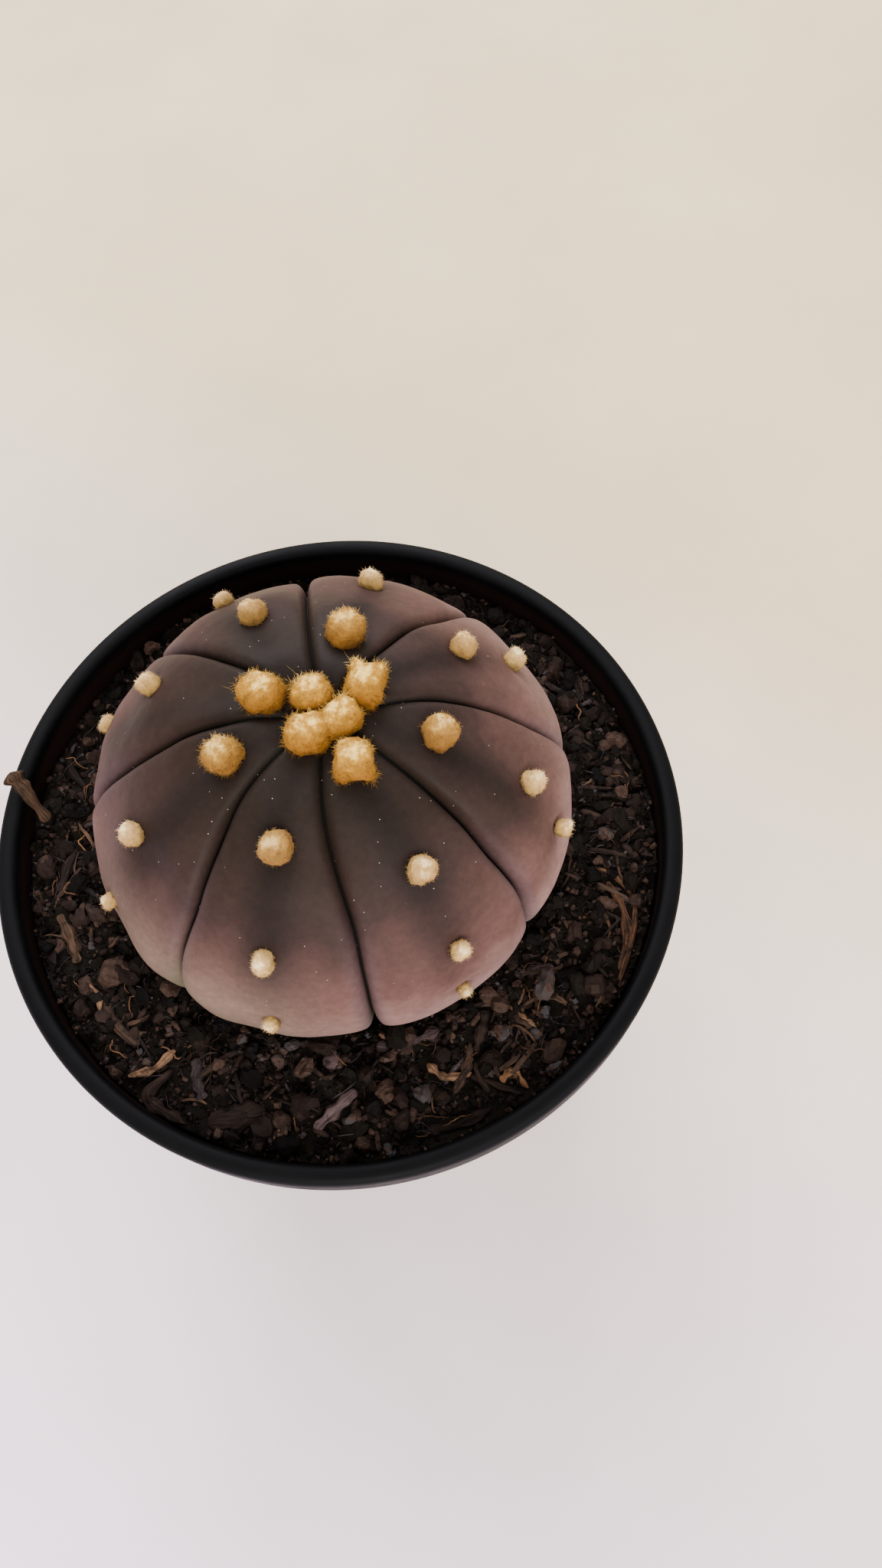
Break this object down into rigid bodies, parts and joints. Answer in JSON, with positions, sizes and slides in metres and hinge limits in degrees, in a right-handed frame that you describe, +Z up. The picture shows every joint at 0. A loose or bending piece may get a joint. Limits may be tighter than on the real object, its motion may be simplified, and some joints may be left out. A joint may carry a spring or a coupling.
{
  "type": "potted star cactus",
  "caption": "Low, rounded, spineless ribbed cactus with woolly areole tufts, growing in dark bark-and-peat soil in a tapered black plastic nursery pot.",
  "frame": {"origin": "centre of the pot's underside, on the surface that it stands on", "axes": "+Z up along the pot's axis, +X to the viewer's right and +Y away from the viewer in the reference view"},
  "size_m": [0.09, 0.09, 0.1006],
  "materials": {
    "pot_plastic": "satin black moulded polypropylene",
    "potting_soil": null,
    "cactus_skin": null,
    "twig_brown": "weathered brown twig",
    "wood_tan": "pale torn wood fibre",
    "wood_grey": "greyed wood sliver",
    "bark_dark": "dark red-brown bark"
  },
  "bodies": {
    "root": {"pot": "pot_plastic", "soil": "potting_soil", "cactus_body": "cactus_skin", "twig_left_far": "twig_brown", "twig_left_upper": "twig_brown", "twig_left_lower": "wood_tan", "twig_bent": "twig_brown", "sliver_grey": "wood_grey", "bark_strip_dark": "bark_dark", "sliver_middle": "wood_grey", "twig_right_dark": "bark_dark", "fibre_tan": "wood_tan", "fibre_arched": "wood_tan", "sliver_ochre": "twig_brown", "sliver_pink": "wood_grey", "fibre_right": "wood_tan", "bark_chip_on_rim": "wood_tan", "bark_chip_oval": "wood_tan"}
  },
  "joints": []
}
